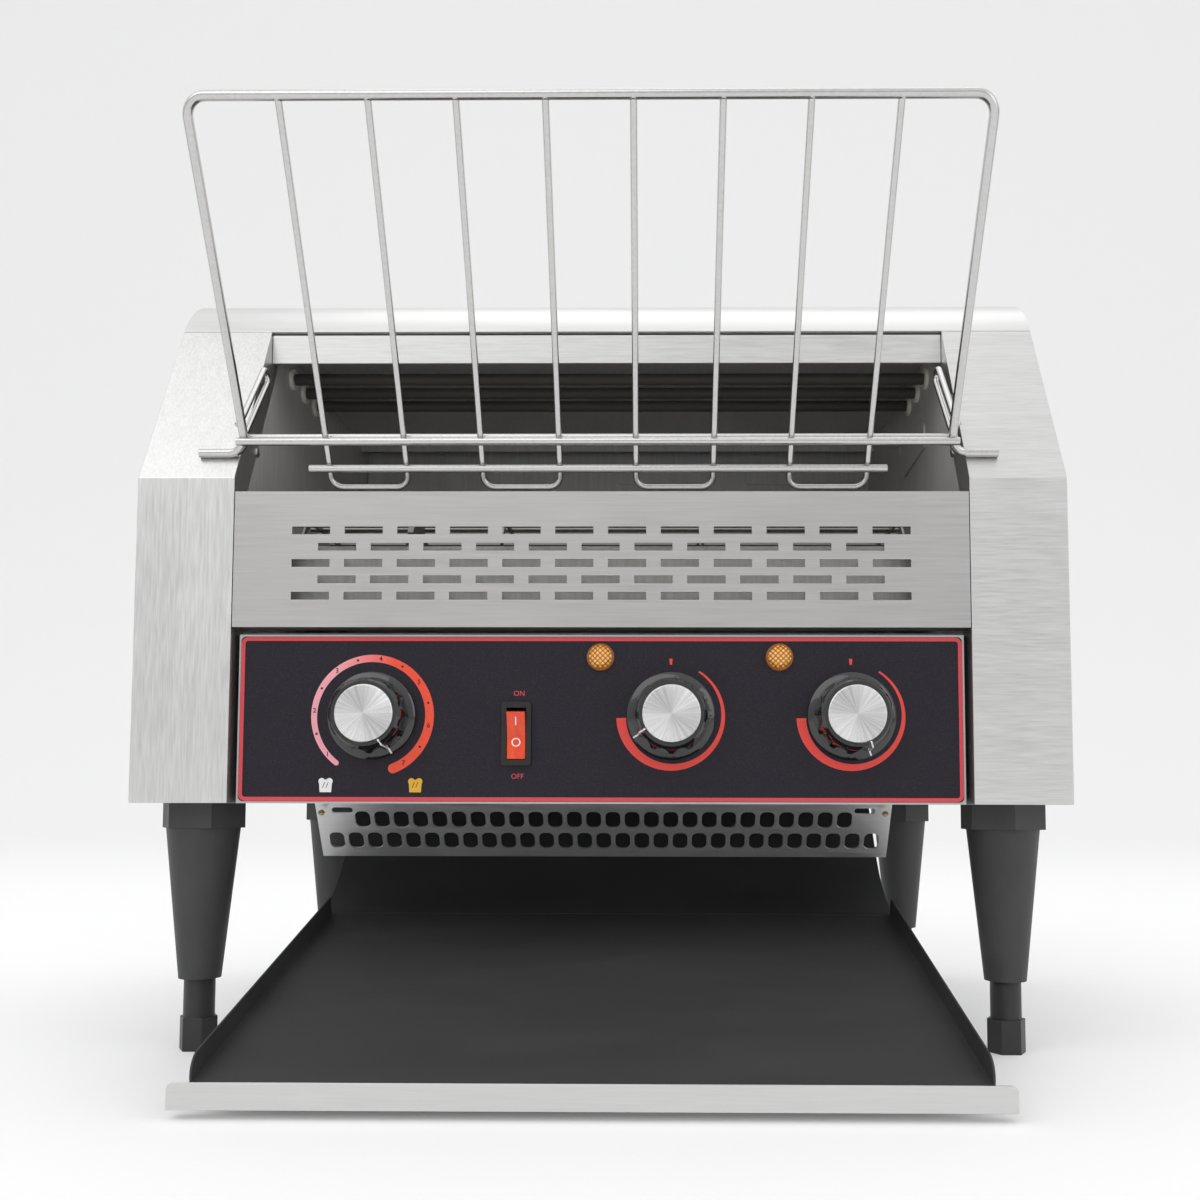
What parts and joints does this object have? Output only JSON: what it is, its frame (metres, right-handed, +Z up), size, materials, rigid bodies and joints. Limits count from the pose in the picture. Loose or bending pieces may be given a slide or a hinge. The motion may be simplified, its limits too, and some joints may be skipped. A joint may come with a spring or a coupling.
{
  "type": "conveyor toaster",
  "caption": "Countertop conveyor toaster: bread rides a wire belt between heating tubes from a sloping wire rack at the front to a tray below.",
  "frame": {"origin": "on the table, under the middle of the machine's footprint", "axes": "+Z up, +X to the right seen from the front, +Y from the front towards the back"},
  "size_m": [0.468, 0.424, 0.44],
  "materials": {
    "brushed_steel_body": "brushed stainless steel sheet",
    "brushed_steel_guard": "brushed stainless steel, grain along the width",
    "oven_steel": "aluminised steel sheet, dulled by heat",
    "galvanised_pan": "zinc coated steel",
    "dark_panel": "dark printed overlay with a red border",
    "black_tray": "matte black enamel",
    "chrome_wire": "chromed round wire",
    "belt_wire": "bright steel wire",
    "leg_plastic": "textured dark plastic",
    "foot_plastic": "smooth dark plastic",
    "knob_plastic": "moulded black phenolic",
    "knob_cap_metal": "spun aluminium disc",
    "machined_steel": "turned steel",
    "sprocket_steel": "stamped steel, darkened by heat",
    "bush_bronze": "sintered bronze",
    "control_body_plastic": "black moulded plastic",
    "rocker_red": "translucent red moulded plastic",
    "lens_amber": "translucent amber moulded plastic",
    "motor_metal": "zinc plated housing",
    "heater_sheath": "oxidised heating tube sheath",
    "ceramic": "glazed ceramic",
    "rubber_black": "black rubber grommet"
  },
  "bodies": {
    "cabinet": {"left_casing": "brushed_steel_body", "right_casing": "brushed_steel_body", "roof_cover": "brushed_steel_body", "back_cover": "brushed_steel_body", "front_lintel": "brushed_steel_body", "vent_panel": "brushed_steel_guard", "control_fascia": "brushed_steel_guard", "deflector_plate": "brushed_steel_guard", "left_inner_plate": "oven_steel", "right_inner_plate": "oven_steel", "upper_reflector": "oven_steel", "lower_reflector": "oven_steel", "rear_guide_plate": "oven_steel", "return_chute": "oven_steel", "compartment_wall": "oven_steel", "wall_bracket": "oven_steel", "base_pan": "galvanised_pan", "left_tray_arm": "galvanised_pan", "right_tray_arm": "galvanised_pan", "panel_overlay": "dark_panel", "conveyor_belt": "belt_wire", "front_left_leg": "leg_plastic", "front_right_leg": "leg_plastic", "back_left_leg": "leg_plastic", "back_right_leg": "leg_plastic", "cover_screws": "machined_steel", "shaft_bushes": "bush_bronze", "speed_control": "control_body_plastic", "heat_regulators": "control_body_plastic", "switch_housing": "control_body_plastic", "lamp_housings": "control_body_plastic", "lamp_lenses": "lens_amber", "gear_motor": "motor_metal", "upper_heaters": "heater_sheath", "lower_heaters": "heater_sheath", "heater_insulators": "ceramic", "terminal_block": "ceramic", "cord_inlet": "rubber_black"},
    "loading_rack": {"loading_rack": "chrome_wire"},
    "discharge_tray": {"discharge_tray": "black_tray", "tray_front_bar": "brushed_steel_body"},
    "speed_knob": {"speed_knob": "knob_plastic", "speed_knob_cap": "knob_cap_metal", "speed_spindle": "machined_steel"},
    "upper_heat_knob": {"upper_heat_knob": "knob_plastic", "upper_heat_knob_cap": "knob_cap_metal", "upper_heat_spindle": "machined_steel"},
    "lower_heat_knob": {"lower_heat_knob": "knob_plastic", "lower_heat_knob_cap": "knob_cap_metal", "lower_heat_spindle": "machined_steel"},
    "power_rocker": {"switch_rocker": "rocker_red"},
    "drive_roller": {"drive_shaft": "machined_steel", "drive_sprockets": "sprocket_steel"},
    "idler_roller": {"idler_shaft": "machined_steel", "idler_sprockets": "sprocket_steel"},
    "front_left_foot": {"front_left_foot": "foot_plastic"},
    "front_right_foot": {"front_right_foot": "foot_plastic"},
    "back_left_foot": {"back_left_foot": "foot_plastic"},
    "back_right_foot": {"back_right_foot": "foot_plastic"}
  },
  "joints": [
    {"name": "speed_knob_turn", "type": "hinge", "parent": "cabinet", "child": "speed_knob", "pos_m": [-0.1145, -0.0974, 0.1699], "axis": [0, 1, 0], "range_deg": [-293, 7.6]},
    {"name": "upper_heat_knob_turn", "type": "hinge", "parent": "cabinet", "child": "upper_heat_knob", "pos_m": [0.0354, -0.0974, 0.1699], "axis": [0, 1, 0], "range_deg": [-240, 35]},
    {"name": "lower_heat_knob_turn", "type": "hinge", "parent": "cabinet", "child": "lower_heat_knob", "pos_m": [0.1256, -0.0974, 0.1699], "axis": [0, 1, 0], "range_deg": [-155, 120]},
    {"name": "power_rocker_tip", "type": "hinge", "parent": "cabinet", "child": "power_rocker", "pos_m": [-0.042, -0.095, 0.161], "axis": [1, 0, 0], "range_deg": [-18, 0]},
    {"name": "rack_lift", "type": "slide", "parent": "cabinet", "child": "loading_rack", "axis": [0, 0, 1], "range_m": [0, 0.12]},
    {"name": "tray_lift", "type": "slide", "parent": "cabinet", "child": "discharge_tray", "axis": [0, -0.23, 0.9732], "range_m": [0, 0.015]},
    {"name": "drive_roller_turn", "type": "hinge", "parent": "cabinet", "child": "drive_roller", "pos_m": [0, 0.1168, 0.2515], "axis": [1, 0, 0], "continuous": true, "deforming": ["conveyor_belt"]},
    {"name": "idler_roller_turn", "type": "hinge", "parent": "cabinet", "child": "idler_roller", "pos_m": [0, -0.061, 0.2515], "axis": [1, 0, 0], "continuous": true},
    {"name": "front_left_foot_turn", "type": "hinge", "parent": "cabinet", "child": "front_left_foot", "pos_m": [-0.2074, -0.0728, 0], "axis": [0, 0, 1], "continuous": true},
    {"name": "front_right_foot_turn", "type": "hinge", "parent": "cabinet", "child": "front_right_foot", "pos_m": [0.2074, -0.0728, 0], "axis": [0, 0, 1], "continuous": true},
    {"name": "back_left_foot_turn", "type": "hinge", "parent": "cabinet", "child": "back_left_foot", "pos_m": [-0.2074, 0.1824, 0], "axis": [0, 0, 1], "continuous": true},
    {"name": "back_right_foot_turn", "type": "hinge", "parent": "cabinet", "child": "back_right_foot", "pos_m": [0.2074, 0.1824, 0], "axis": [0, 0, 1], "continuous": true}
  ],
  "couplings": [
    {"joint": "idler_roller_turn", "follows": "drive_roller_turn", "ratio": 1}
  ]
}
